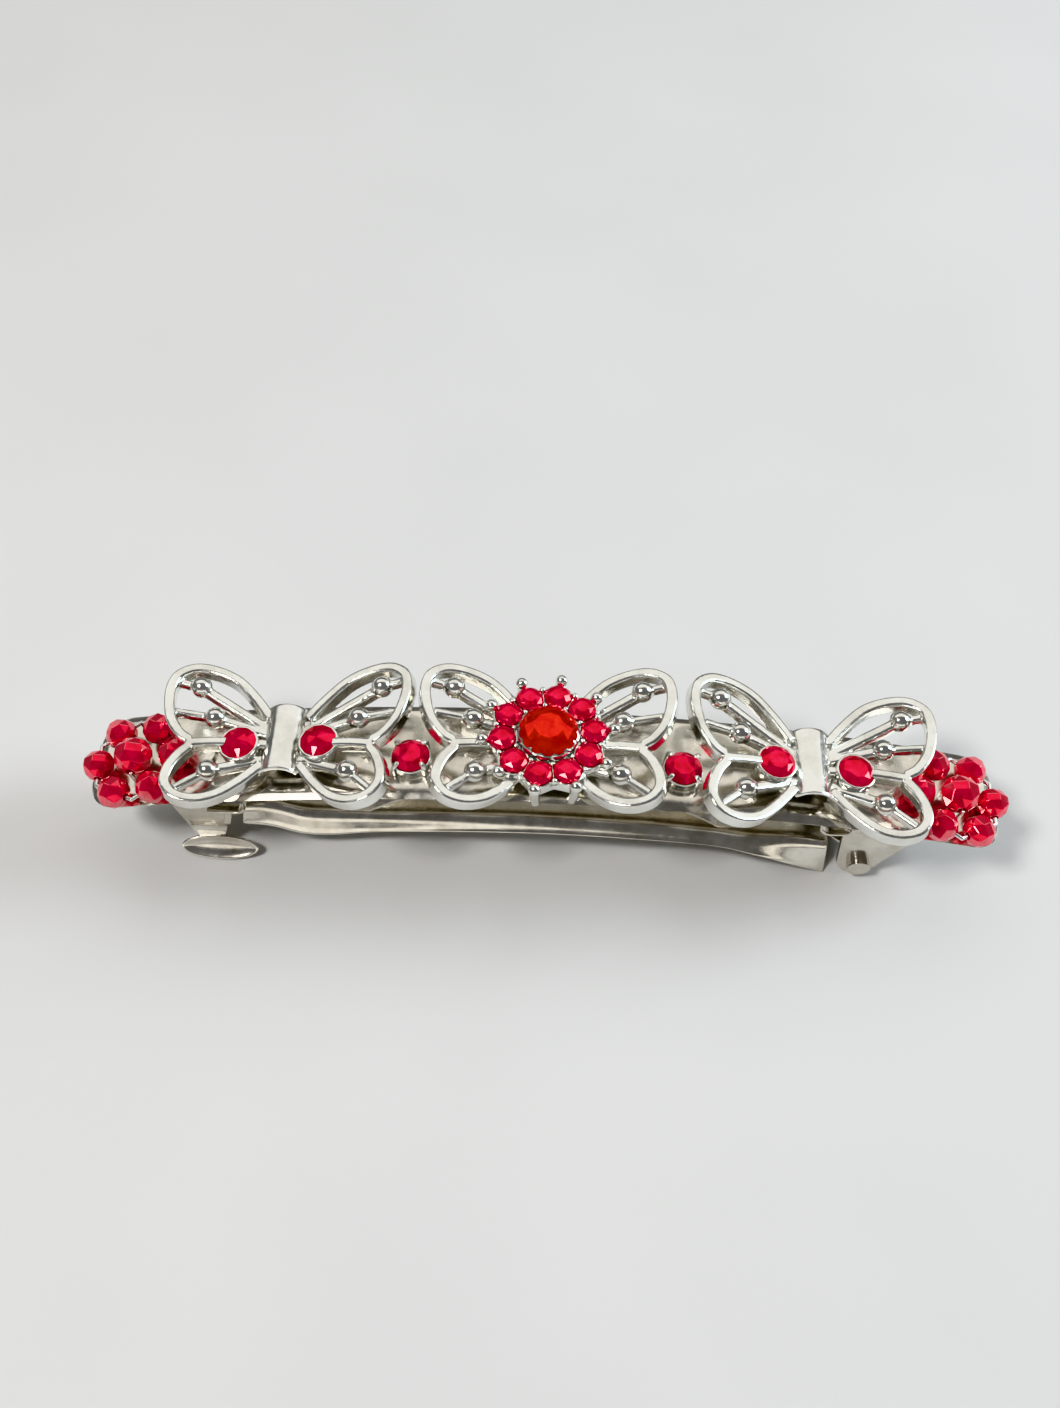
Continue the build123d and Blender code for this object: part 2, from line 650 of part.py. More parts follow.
def bead_wire():
    """The wire through the beads and the plate."""
    corner = BEAD_RING / cos(pi / BEADS)
    below = -PLATE_THICK - WIRE_RADIUS
    corners = [
        (corner * cos(pi / BEADS * (2 * k + 1)), corner * sin(pi / BEADS * (2 * k + 1)), BEAD_LIFT)
        for k in range(BEADS)
    ]
    runs = list(zip(corners, corners[1:] + corners[:1]))
    ring, inner = wire_feet()
    for feet, height in ((ring, BEAD_LIFT), (inner, CENTRE_BEAD_LIFT)):
        for u, v in feet:
            runs.append(((u, v, height), (u, v, below)))
        runs.append(((*feet[0], below), (*feet[1], below)))
    runs.append(((*inner[0], CENTRE_BEAD_LIFT), (*inner[1], CENTRE_BEAD_LIFT)))
    wire = Part()
    for start, end in runs:
        wire += rod(start, end, WIRE_RADIUS)
        wire += Pos(*start) * Sphere(WIRE_RADIUS)
        wire += Pos(*end) * Sphere(WIRE_RADIUS)
    return wire


# ------------------------------------------------------------ everything

def save_butterfly(name, x):
    """A side butterfly: casting, band, post and its two set stones."""
    place = deck(x)
    save(place * side_wings(), f"{name}_butterfly_wings")
    save(place * band(), f"{name}_butterfly_band")
    save(place * stem(), f"{name}_butterfly_stem")
    for side, seat in zip(("left", "right"), wing_stone_places()):
        save(place * seat * wing_cup(), f"{name}_butterfly_cup_{side}")
        save(place * seat * wing_stone(), f"{name}_butterfly_stone_{side}")


def save_middle():
    """The middle butterfly and the flower on it."""
    place = deck(0)
    save(place * centre_wings(), "middle_butterfly_wings")
    save(place * stem(), "middle_butterfly_stem")
    save(place * flower_setting(), "flower_setting")
    save(place * centre_cup(), "flower_centre_cup")
    save(place * Pos(0, 0, FLOWER_TOP + CENTRE_CUP_RISE) * stone(CENTRE_STONE_RADIUS), "flower_centre_stone")
    for k in range(PETALS):
        save(place * petal_place(k, FLOWER_TOP) * stone(RING_STONE_RADIUS), f"flower_stone_{k + 1}")


def save_bead_flowers():
    """A flower of beads wired to each end of the plate."""
    for side in BEAD_FLOWER_TURNS:
        save(on_end(side, bead_wire()), f"{side}_bead_wire")
        for k in range(BEADS):
            petal = bead_at(2 * pi * k / BEADS, BEAD_RING, BEAD_LIFT)
            save(on_end(side, petal), f"{side}_bead_{k + 1}")
        centre = bead_at(0, 0, CENTRE_BEAD_LIFT, CENTRE_BEAD_SCALE)
        save(on_end(side, centre), f"{side}_bead_centre")


def main():
    save(top_plate(), "top_plate")
    save(hinge_pin(), "hinge_pin")
    save(lever_arm(), "lever_arm")
    save(tension_spring(), "tension_spring")
    save(spring_rivets(), "spring_rivets")
    save(latch_base(), "latch_base")
    save(latch_rivet(), "latch_rivet")
    ear = latch_ear()
    save(ear, "latch_ear_front")
    save(mirror(ear, about=Plane.XZ), "latch_ear_back")
    save_butterfly("left", -SIDE_BUTTERFLY_X)
    save_butterfly("right", SIDE_BUTTERFLY_X)
    save_middle()
    for name, side in (("left", -1), ("right", 1)):
        save(deck(side * SINGLE_X, SINGLE_Y) * single_cup(), f"{name}_single_cup")
        save(deck(side * SINGLE_X, SINGLE_Y) * single_stone(), f"{name}_single_stone")
    save_bead_flowers()


main()
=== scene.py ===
import random
from math import atan2, cos, pi, radians, sin, sqrt

import bmesh
import bpy
from mathutils import Matrix, Vector


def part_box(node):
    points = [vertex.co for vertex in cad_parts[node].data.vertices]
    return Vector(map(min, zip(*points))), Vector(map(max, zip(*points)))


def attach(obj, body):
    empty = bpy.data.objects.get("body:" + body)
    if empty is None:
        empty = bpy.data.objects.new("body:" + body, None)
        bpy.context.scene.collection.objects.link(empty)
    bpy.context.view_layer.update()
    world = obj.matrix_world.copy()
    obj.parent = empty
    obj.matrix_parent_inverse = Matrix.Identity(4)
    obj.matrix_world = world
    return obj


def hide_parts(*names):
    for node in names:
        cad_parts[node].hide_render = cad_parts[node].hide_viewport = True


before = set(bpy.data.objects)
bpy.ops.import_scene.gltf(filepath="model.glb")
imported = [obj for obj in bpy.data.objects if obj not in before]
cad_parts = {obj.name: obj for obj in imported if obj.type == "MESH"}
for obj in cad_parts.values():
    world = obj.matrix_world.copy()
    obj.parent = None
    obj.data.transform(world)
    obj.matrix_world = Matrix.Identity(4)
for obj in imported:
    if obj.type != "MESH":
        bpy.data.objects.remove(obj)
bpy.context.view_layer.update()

# A closed spring hair clip with three cast butterflies, red rhinestones and beads.
# Shapes are drawn in millimetres, each in the frame of the place it sits in:
# u along the plate, v to the back, w away from the plate. settle() turns them to metres.

MM = 0.001
UP = Vector((0, 0, 1))
RNG = random.Random(7)

# --- Plate ---
DECK_RADIUS = 167.6
DECK_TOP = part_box("top_plate")[1].z / MM
ARCH_CENTRE = Vector((0, 0, DECK_TOP - DECK_RADIUS))
PLATE_HALF_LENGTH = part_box("top_plate")[1].x / MM
PLATE_HALF_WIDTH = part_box("top_plate")[1].y / MM
PLATE_THICK = 0.6
PLATE_CORNER = 2.6
BEVEL_WIDTH = 0.7
BEVEL_DROP = 0.25
PLATE_STEPS = 120
CORNER_STEPS = 10
CRAFT_HOLES = [(-24, -1.75), (-24, 1.75), (24, -1.75), (24, 1.75)]
CRAFT_HOLE_RADIUS = 0.75
PLATE_EDGE = 0.06
HINGE_X = 28.4
HINGE_Z = 1.9
HINGE_EAR_INNER = 3.6
HINGE_EAR_THICK = 0.5
HINGE_EAR_RADIUS = 1.9
HINGE_EAR_FEET = (25.9, 33.3)
HINGE_EAR_ROOT = -0.3        # the ears start this far inside the plate
STOP_Y = 4.05
STOP_LINE = [(23.9, 8.6), (24.0, 7.7), (24.6, 7.15), (25.6, 7.1), (26.5, 7.35), (26.7, 8.4)]

# --- Lever arm: a folded channel with a nose at the catch and a curl round the pin ---
SHEET = 0.45
FOLD_RADIUS = 0.95
KNUCKLE_RADIUS = 1.2
KNUCKLE_HALF = 2.9
NOSE_X = -30.4
NOSE_CORNER = 1.0
LIP_FLARE = 0.12
LIP_POINTS = 8               # points of a section that belong to one lip and its fold
CURL = radians(300)
# Each station: x, half width and height of the fold, half width and height of the lip.
LEVER_STATIONS = [
    (-26.9, 2.6, 4.7, 3.5, 2.9), (-24.3, 2.7, 5.2, 3.8, 3.2), (-21.5, 2.7, 4.1, 3.85, 2.15),
    (-18.8, 2.6, 3.8, 3.7, 1.9), (-15, 2.6, 3.8, 3.4, 2.2), (-7, 2.6, 4.3, 3.4, 3.0),
    (0, 2.6, 4.5, 3.4, 3.35), (7, 2.6, 4.3, 3.4, 3.2), (15, 2.6, 3.8, 3.5, 2.8),
    (18.8, 3.0, 3.8, 4.1, 2.6), (22.9, 3.0, 3.5, 4.2, 1.0), (25.6, 3.0, 3.1, 4.2, 0.05),
]

# --- Catch ears ---
EAR_OUTSIDE = 3.9
EAR_THICK = 0.3
EAR_TOP = (-32.8, -27.8)
EAR_FOOT = (-31.7, -28.3)
NECK_FOOT = (-31.0, -28.6)
TAB_X = -29.0
TAB_HALF_LENGTH = 3.47
TAB_HALF_HEIGHT = 1.2
TAB_THICK = 0.3
TAB_RIM = 0.28
TAB_DISH = 0.2
TAB_FLARE = radians(38)
TAB_DROP = 1.9
EAR_FOOT_Z = cos(TAB_FLARE) * (TAB_DROP + TAB_HALF_HEIGHT) + sin(TAB_FLARE) * TAB_THICK / 2
TAB_SIDES = 56
LEDGE = [(-29.4, 6.5), (-27.4, 6.5), (-26.5, 6.62), (-26.05, 7.25)]
HOOK = [(-27.75, 6.5), (-27.8, 5.2), (-28.15, 3.6)]

# --- Butterfly castings ---
WING_LIFT = 0.9
WING_SPREAD = 1.045
WING_DIHEDRAL = radians(11.8)
WING_HINGE_U = 1.5
RIM_WIDTH = 0.88
RIM_GROW = 0.07              # what the melting takes off the outline again
RIM_HEIGHT = 1.22
RIM_CORNER = 0.2
VEIN_WIDTH = 0.92
VEIN_TIP_WIDTH = 0.68
VEIN_HEIGHT = 0.88
BALL_RADIUS = 0.96
BALL_LIFT = 0.62
BRIDGE_HALF = (2.1, 2.4)
BRIDGE_HEIGHT = 0.55
CAST_VOXEL = 0.087
FINE_VOXEL = 0.07
CUP_VOXEL = 0.05
# How askew each casting was soldered on: along, turn, and how far it was pressed together.
CAST_TRIM = {
    "left": (0.35, radians(-1.9), 0.975),
    "middle": (0, radians(1.5), 0.96),
    "right": (-0.25, 0, 1.0),
}

# Half of a butterfly, from its middle outwards: the forewing, then the hindwing.
FOREWING = [
    (1.5, 2.4), (2.9, 4.2), (4.85, 6.1), (7.0, 7.0), (8.95, 7.05), (10.4, 6.1),
    (10.9, 4.65), (10.8, 2.85), (10.25, 0.9), (9.2, -0.6), (8.2, -1.25),
]
HINDWING = [
    (8.2, -1.25), (9.0, -2.4), (9.6, -4.0), (9.55, -5.5), (8.6, -6.7), (6.9, -7.1),
    (5.0, -6.5), (3.2, -4.9), (1.5, -2.8),
]
WING_DIVIDER = [(8.2, -1.25), (5.5, -0.75), (1.5, -0.5)]
# Each vein: root, ball and where it meets the rim.
VEINS = [
    [(1.5, 1.0), (8.1, 4.9), (10.3, 5.3)],
    [(1.5, 0.6), (6.4, 1.85), (10.3, 2.1)],
    [(1.5, -1.8), (6.1, -3.55), (8.8, -6.0)],
]

# --- Band over a side butterfly ---
BAND_HALF_WIDTH = 1.85
BAND_HALF_LENGTH = 3.3
BAND_LIFT = 1.5
BAND_RISE = 1.12
BAND_THICK = 0.34
BAND_WAIST = 0.14
BAND_FLARE = 0.16

# --- Stones and cups ---
CUP_WALL = 0.15
CUP_FLOOR = 0.3
GIRDLE = 0.04
PAVILION = 0.55
STONE_SIDES = 8
POINTED_CROWN = 0.4
POINTED_SIDES = 12
CLAW_RADIUS = 0.23
WING_STONE_RADIUS = 1.6
WING_CUP_LIFT = 1.4
WING_GIRDLE_LIFT = 2.58
SINGLE_RADIUS = 1.6
SINGLE_GIRDLE_LIFT = 1.0
RING_STONE_RADIUS = 1.16
CENTRE_STONE_RADIUS = 2.5
CENTRE_GIRDLE_LIFT = 3.65
FACET_TOWARDS = radians(-20)  # the flower's stones are set with one facet looking this way

# --- Flower on the middle butterfly ---
PETALS = 10
FLOWER_TURN = radians(8)
RING_PITCH = 3.9
FLOWER_LIFT = 1.9
FLOWER_TOP = 3.2
FLOWER_WEB_TOP = 2.6
POINT_RADIUS = 5.6
NOTCH_RADIUS = 4.7
POINT_BALL_RADIUS = 0.55
RIDGE_RADIUS = 0.46
OUTER_PRONG_RADIUS = 0.32
INNER_PRONG_RADIUS = 0.26
LEG_POINTS = (2, 3, 7, 8)
LEG_PITCH = 5.0
LEG_RADIUS = 0.42
LEG_FOOT_LIFT = 0.2
CLAWS_ROUND_CENTRE = 14
COLLAR_INNER = RING_STONE_RADIUS - 0.04
COLLAR_OUTER = RING_STONE_RADIUS + 0.16
COLLAR_LOW = FLOWER_WEB_TOP - 0.3
COLLAR_HIGH = FLOWER_TOP - 0.15
COLLAR = [
    (COLLAR_INNER, COLLAR_LOW), (COLLAR_OUTER, COLLAR_LOW),
    (COLLAR_OUTER, COLLAR_HIGH), (COLLAR_INNER, COLLAR_HIGH), (COLLAR_INNER, COLLAR_LOW),
]

# --- Bead flowers ---
BEAD_RADIUS = 1.42
BEAD_SIDES = 8
CENTRE_BEAD_SCALE = 1.2
BEADS = ["1", "2", "3", "4", "5", "6", "centre"]

# --- Mesh detail ---
ROUND_SIDES = 12
WELD = 0.003
SHEET_SHARP = 35             # degrees between faces from which an edge is drawn sharp
CUP_SHARP = 40
CROWN_SHARP = 50
CAST_SHARP = 60


# ---------------------------------------------------------------- places

def middle_of(node):
    low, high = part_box(node)
    return (low + high) / (2 * MM)


def raised(height):
    return Matrix.Translation((0, 0, height))


def toward(angle):
    return Vector((cos(angle), sin(angle), 0))


def deck_under(node):
    """The plate's frame under the middle of a CAD node: local millimetres to millimetres."""
    middle = middle_of(node)
    tilt = atan2(middle.x, middle.z - ARCH_CENTRE.z)
    along = Vector((cos(tilt), 0, -sin(tilt)))
    above = Vector((sin(tilt), 0, cos(tilt)))
    frame_there = Matrix((along, (0, 1, 0), above)).transposed().to_4x4()
    foot = ARCH_CENTRE + DECK_RADIUS * above
    foot.y = middle.y
    frame_there.translation = foot
    return frame_there


# ---------------------------------------------------------------- mesh tools

def smooth_line(points, steps=8):
    """A curve through the points, with this many steps between each two."""
    points = [Vector((*p, 0)) if len(p) == 2 else Vector(p) for p in points]
    line = []
    for i in range(len(points) - 1):
        b, c = points[i], points[i + 1]
        a = points[i - 1] if i else 2 * b - c
        d = points[i + 2] if i + 2 < len(points) else 2 * c - b
        square = 2 * a - 5 * b + 4 * c - d
        cube = 3 * (b - c) + d - a
        for k in range(steps):
            t = k / steps
            line.append(0.5 * (2 * b + (c - a) * t + square * t**2 + cube * t**3))
    return line + [points[-1]]


def bar_section(left, right, low, high, corner, steps=4):
    """A bar's section with rounded upper corners, as (across, above) points."""
    points = [(left, low), (right, low)]
    for middle, start in ((right - corner, 0), (left + corner, pi / 2)):
        for k in range(steps + 1):
            angle = start + pi / 2 * k / steps
            points.append((middle + corner * cos(angle), high - corner + corner * sin(angle)))
    return points


def round_section(radius):
    angles = [2 * pi * k / ROUND_SIDES for k in range(ROUND_SIDES)]
    return [(radius * cos(angle), radius * sin(angle)) for angle in angles]


def tube(bm, path, section, up=UP):
    """A section swept along a path, with its own up kept and its ends closed."""
    rings = []
    for i, point in enumerate(path):
        before = path[i - 1] if i else point
        after = path[i + 1] if i < len(path) - 1 else point
        run = (after - before).normalized()
        side = run.cross(up).normalized()
        above = side.cross(run)
        rings.append([bm.verts.new(point + side * a + above * b) for a, b in section])
    join_rings(bm, rings)
    bm.faces.new(rings[0])
    bm.faces.new(rings[-1])


def join_rings(bm, rings):
    """Faces between neighbouring rings of vertices."""
    for one, other in zip(rings, rings[1:]):
        for k in range(len(one)):
            n = (k + 1) % len(one)
            corners = []
            for v in (one[k], one[n], other[n], other[k]):
                if v not in corners:
                    corners.append(v)
            if len(corners) > 2:
                bm.faces.new(corners)


def lathe(bm, profile, sides=48, centre=(0, 0), shape=None):
    """A profile of (radius, height) turned about an upright axis. shape moves each point."""
    rings = []
    for radius, height in profile:
        if radius < 1e-6:
            rings.append([bm.verts.new((centre[0], centre[1], height))] * sides)
            continue
        ring = []
        for k in range(sides):
            angle = 2 * pi * k / sides
            r, h = shape(angle, radius, height) if shape else (radius, height)
            ring.append(bm.verts.new((centre[0] + r * cos(angle), centre[1] + r * sin(angle), h)))
        rings.append(ring)
    join_rings(bm, rings)


def ball(bm, centre, radius, squash=1.0):
    place = Matrix.Translation(centre) @ Matrix.Diagonal((1, 1, squash, 1))
    bmesh.ops.create_uvsphere(bm, u_segments=20, v_segments=12, radius=radius, matrix=place)


def block(bm, low, high):
    centre = (Vector(low) + Vector(high)) / 2
    size = Vector(high) - Vector(low)
    place = Matrix.Translation(centre) @ Matrix.Diagonal((*size, 1))
    bmesh.ops.create_cube(bm, size=1, matrix=place)


def sheet(bm, rows):
    """A surface through rows of points. A row may hold None where the sheet is missing."""
    grid = [[None if p is None else bm.verts.new(p) for p in row] for row in rows]
    for one, other in zip(grid, grid[1:]):
        for k in range(len(one) - 1):
            corners = [one[k], one[k + 1], other[k + 1], other[k]]
            if None not in corners:
                bm.faces.new(corners)


def prism(bm, outline, rise):
    """An outline of points, made solid along a direction."""
    floor = [bm.verts.new(p) for p in outline]
    roof = [bm.verts.new(p + rise) for p in outline]
    join_rings(bm, [floor, roof])
    bm.faces.new(floor)
    bm.faces.new(roof)


def new_object(name, bm, recalc=True):
    if recalc:
        bmesh.ops.recalc_face_normals(bm, faces=bm.faces)
    mesh = bpy.data.meshes.new(name)
    bm.to_mesh(mesh)
    bm.free()
    obj = bpy.data.objects.new(name, mesh)
    bpy.context.scene.collection.objects.link(obj)
    return obj


def modify(obj, kind, **settings):
    modifier = obj.modifiers.new(kind.title(), kind)
    for key, value in settings.items():
        setattr(modifier, key, value)


def bake_modifiers(obj):
    """Replaces the mesh by what its modifiers make of it."""
    shown = obj.evaluated_get(bpy.context.evaluated_depsgraph_get())
    mesh = bpy.data.meshes.new_from_object(shown)
    obj.modifiers.clear()
    obj.data = mesh


def cast(obj, voxel):
    """Melts overlapping shapes into one rounded skin, as a casting has."""
    modify(obj, "REMESH", mode="VOXEL", voxel_size=voxel, use_smooth_shade=True)
    modify(obj, "SMOOTH", factor=0.5, iterations=3)
    bake_modifiers(obj)


def fold_sheet(obj, thickness, edge):
    """Gives a sheet its thickness, inwards from its drawn face, and softens its edges."""
    modify(obj, "SOLIDIFY", thickness=thickness, offset=-1, use_even_offset=True)
    soften(obj, edge)


def bevel(obj, width, segments, angle):
    """Rounds the edges that turn by more than this angle in degrees."""
    turn = radians(angle)
    modify(obj, "BEVEL", width=width, segments=segments, limit_method="ANGLE", angle_limit=turn)


def soften(obj, edge, segments=2):
    bevel(obj, edge, segments, 40)
    bake_modifiers(obj)


def tidy_mesh(obj):
    """Welds the slivers that a boolean and a bevel leave behind."""
    bm = bmesh.new()
    bm.from_mesh(obj.data)
    bmesh.ops.remove_doubles(bm, verts=bm.verts, dist=WELD)
    bmesh.ops.dissolve_degenerate(bm, dist=WELD / 3, edges=bm.edges)
    bm.to_mesh(obj.data)
    bm.free()


def settle(obj, place, body, slot, *materials, nodes=(), sharp=None):
    """Puts a finished shape in its place on a body, with its materials. sharp is in degrees."""
    obj.data.transform(Matrix.Scale(MM, 4) @ place)
    if sharp is None:
        obj.data.shade_flat()
    else:
        obj.data.shade_smooth()
        obj.data.set_sharp_from_angle(angle=radians(sharp))
    obj.data.materials.clear()
    for material in materials:
        obj.data.materials.append(material)
    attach(obj, body)
    if nodes:
        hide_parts(*nodes)


# ---------------------------------------------------------------- materials

def new_material(name):
    material = bpy.data.materials.new(name)
    material.use_nodes = True
    tree = material.node_tree
    coordinates = tree.nodes.new("ShaderNodeTexCoord").outputs["Object"]
    return material, tree, tree.nodes["Principled BSDF"], coordinates


def noise(tree, coordinates, size, detail, roughness=0.55):
    """Noise with features of about this size in millimetres."""
    node = tree.nodes.new("ShaderNodeTexNoise")
    node.inputs["Scale"].default_value = 1 / (size * MM)
    node.inputs["Detail"].default_value = detail
    node.inputs["Roughness"].default_value = roughness
    tree.links.new(coordinates, node.inputs["Vector"])
    return node.outputs["Fac"]


def ramp(tree, source, stops):
    """A colour ramp; each stop is (position, colour or grey)."""
    node = tree.nodes.new("ShaderNodeValToRGB")
    elements = node.color_ramp.elements
    while len(elements) < len(stops):
        elements.new(0.5)
    for element, (position, colour) in zip(elements, stops):
        element.position = position
        element.color = (*colour, 1) if isinstance(colour, tuple) else (colour, colour, colour, 1)
    tree.links.new(source, node.inputs["Fac"])
    return node.outputs["Color"]


def bump(tree, shader, source, height, before=None):
    """Dents of this height in millimetres, over the bump that comes before."""
    node = tree.nodes.new("ShaderNodeBump")
    node.inputs["Strength"].default_value = 1.0
    node.inputs["Distance"].default_value = height * MM
    tree.links.new(source, node.inputs["Height"])
    if before:
        tree.links.new(before, node.inputs["Normal"])
    tree.links.new(node.outputs["Normal"], shader.inputs["Normal"])
    return node.outputs["Normal"]


def metal(name, light, dark, rough, wave, grain):
    """Plated metal: smudges in colour and gloss, slight waves, and fine grain.

    rough is the least and the most roughness; wave and grain are each a size and a height."""
    material, tree, shader, coordinates = new_material(name)
    shader.inputs["Metallic"].default_value = 1.0
    smudge = noise(tree, coordinates, 2.6, 5.0, 0.6)
    colour = ramp(tree, smudge, [(0.32, dark), (0.62, light)])
    tree.links.new(colour, shader.inputs["Base Color"])
    spots = noise(tree, coordinates, 0.9, 6.0, 0.65)
    gloss = ramp(tree, spots, [(0.35, rough[0]), (0.7, rough[1])])
    tree.links.new(gloss, shader.inputs["Roughness"])
    waves = bump(tree, shader, noise(tree, coordinates, wave[0], 1.0), wave[1])
    bump(tree, shader, noise(tree, coordinates, grain[0], 4.0, 0.7), grain[1], waves)
    return material


def jewel(name, light, dark, clear, mirror, rough=0.03):
    """Coloured cut glass over a foil: streaks of deeper colour, part clear and part mirror."""
    material, tree, shader, coordinates = new_material(name)
    streaks = noise(tree, coordinates, 0.9, 3.0)
    colour = ramp(tree, streaks, [(0.36, dark), (0.6, light)])
    tree.links.new(colour, shader.inputs["Base Color"])
    gloss = ramp(tree, streaks, [(0.4, rough), (0.75, rough + 0.06)])
    tree.links.new(gloss, shader.inputs["Roughness"])
    shader.inputs["Transmission Weight"].default_value = clear
    shader.inputs["Metallic"].default_value = mirror
    shader.inputs["IOR"].default_value = 1.6
    return material


FOIL_ROUGH = 0.12
STEEL = metal(
    "nickel_plated_steel", light=(0.76, 0.73, 0.66), dark=(0.56, 0.52, 0.45),
    rough=(0.12, 0.24), wave=(3.0, 0.008), grain=(0.12, 0.0012),
)
SILVER = metal(
    "bright_cast_silver", light=(0.86, 0.86, 0.82), dark=(0.7, 0.69, 0.64),
    rough=(0.1, 0.26), wave=(0.8, 0.02), grain=(0.1, 0.0015),
)
WIRE = metal(
    "silver_wire", light=(0.86, 0.85, 0.83), dark=(0.62, 0.6, 0.56),
    rough=(0.16, 0.32), wave=(0.5, 0.008), grain=(0.08, 0.002),
)
RED_STONE = jewel("red_rhinestone", (1.0, 0.0, 0.07), (0.7, 0.0, 0.02), 0.35, 0.5)
RED_FOIL = jewel("red_rhinestone_foil", (1.0, 0.02, 0.08), (0.6, 0.0, 0.02), 0.0, 0.6, FOIL_ROUGH)
CENTRE_STONE = jewel("orange_red_stone", (1.0, 0.02, 0.0), (0.7, 0.0, 0.0), 0.4, 0.5)
CENTRE_FOIL = jewel(
    "orange_red_stone_foil", (1.0, 0.06, 0.0), (0.6, 0.0, 0.0), 0.0, 0.6, FOIL_ROUGH
)
BEAD_GLASS = jewel("red_bead_glass", (1.0, 0.0, 0.06), (0.72, 0.0, 0.03), 0.3, 0.5, 0.02)


# ---------------------------------------------------------------- plate and hinge

def arch_z(x, lift=0.0):
    return ARCH_CENTRE.z + sqrt((DECK_RADIUS + lift) ** 2 - x**2)


def craft_drill():
    """A pin for each of the plate's craft holes, to cut them with."""
    bm = bmesh.new()
    radius = CRAFT_HOLE_RADIUS
    for x, y in CRAFT_HOLES:
        place = Matrix.Translation((x, y, arch_z(x)))
        bmesh.ops.create_cone(
            bm, cap_ends=True, segments=32, radius1=radius, radius2=radius, depth=3, matrix=place
        )
    return new_object("drill", bm)


def plate(name):
    """The arched strip with bevelled edges and its craft holes."""
    ends = [1 - cos(pi / 2 * k / CORNER_STEPS) for k in range(CORNER_STEPS + 1)]
    near = [PLATE_HALF_LENGTH - PLATE_CORNER * share for share in ends]
    inner = PLATE_HALF_LENGTH - PLATE_CORNER
    between = [inner * (2 * k / PLATE_STEPS - 1) for k in range(1, PLATE_STEPS)]
    xs = [-x for x in near] + between + near[::-1]
    rows = []
    for x in xs:
        past = max(0.0, abs(x) - inner)
        half = PLATE_HALF_WIDTH - PLATE_CORNER + sqrt(max(0.0, PLATE_CORNER**2 - past**2))
        slope = BEVEL_DROP * max(0.0, 1 - (PLATE_HALF_LENGTH - abs(x)) / BEVEL_WIDTH)
        flat = half - BEVEL_WIDTH
        across = [half, half - 0.1, flat + 0.25, flat, *(flat * k / 6 for k in range(5, -6, -1))]
        across += [-flat, -flat - 0.25, 0.1 - half, -half]
        row = []
        for y in across:
            drop = max(slope, BEVEL_DROP * max(0.0, (abs(y) - flat) / BEVEL_WIDTH) ** 1.3)
            row.append((x, y, arch_z(x) - drop))
        rows.append(row)
    bm = bmesh.new()
    sheet(bm, rows)
    obj = new_object(name, bm, recalc=False)
    modify(obj, "SOLIDIFY", thickness=PLATE_THICK, offset=-1)
    drill = craft_drill()
    modify(obj, "BOOLEAN", object=drill, operation="DIFFERENCE")
    soften(obj, PLATE_EDGE)
    bpy.data.objects.remove(drill)
    tidy_mesh(obj)
    return obj


def hinge_cheeks(name):
    """The two ears folded down from the plate round the pin, each with a small stop tab."""
    left, right = HINGE_EAR_FEET
    edge = [Vector((x, 0, arch_z(x, HINGE_EAR_ROOT))) for x in (right, left)]
    for k in range(13):
        angle = pi + pi * k / 12
        x = HINGE_X + HINGE_EAR_RADIUS * cos(angle)
        edge.append(Vector((x, 0, HINGE_Z + HINGE_EAR_RADIUS * sin(angle))))
    bm = bmesh.new()
    for side in (-1, 1):
        inner_face = [p + Vector((0, side * HINGE_EAR_INNER, 0)) for p in edge]
        prism(bm, inner_face, Vector((0, side * HINGE_EAR_THICK, 0)))
        stop = smooth_line([(x, side * STOP_Y, z) for x, z in STOP_LINE], 5)
        tube(bm, stop, bar_section(-0.12, 0.12, -0.35, 0.35, 0.05, 2), up=Vector((0, side, 0)))
    obj = new_object(name, bm)
    soften(obj, 0.12, 3)
    return obj


# ---------------------------------------------------------------- lever

def lever_row(station):
    """One section of the channel, from the back lip over the top to the front lip."""
    x, fold_half, fold_z, lip_half, lip_z = station
    fold = Vector((fold_half, fold_z))
    lip = Vector((lip_half, lip_z))
    flat = Vector((fold_half - FOLD_RADIUS, fold_z))
    down = fold + (lip - fold).normalized() * FOLD_RADIUS
    half = []
    for k in range(6):
        t = k / 5
        half.append(flat * (1 - t) ** 2 + 2 * fold * t * (1 - t) + down * t**2)
    for share in (0.5, 0.8, 1.0):
        point = down.lerp(lip, share)
        half.append(point + Vector((LIP_FLARE * share**3, 0)))
    back = [Vector((x, p.x, p.y)) for p in reversed(half)]
    middle = [Vector((x, flat.x * k / 2, fold_z)) for k in (1, 0, -1)]
    front = [Vector((x, -p.x, p.y)) for p in half]
    return back + middle + front


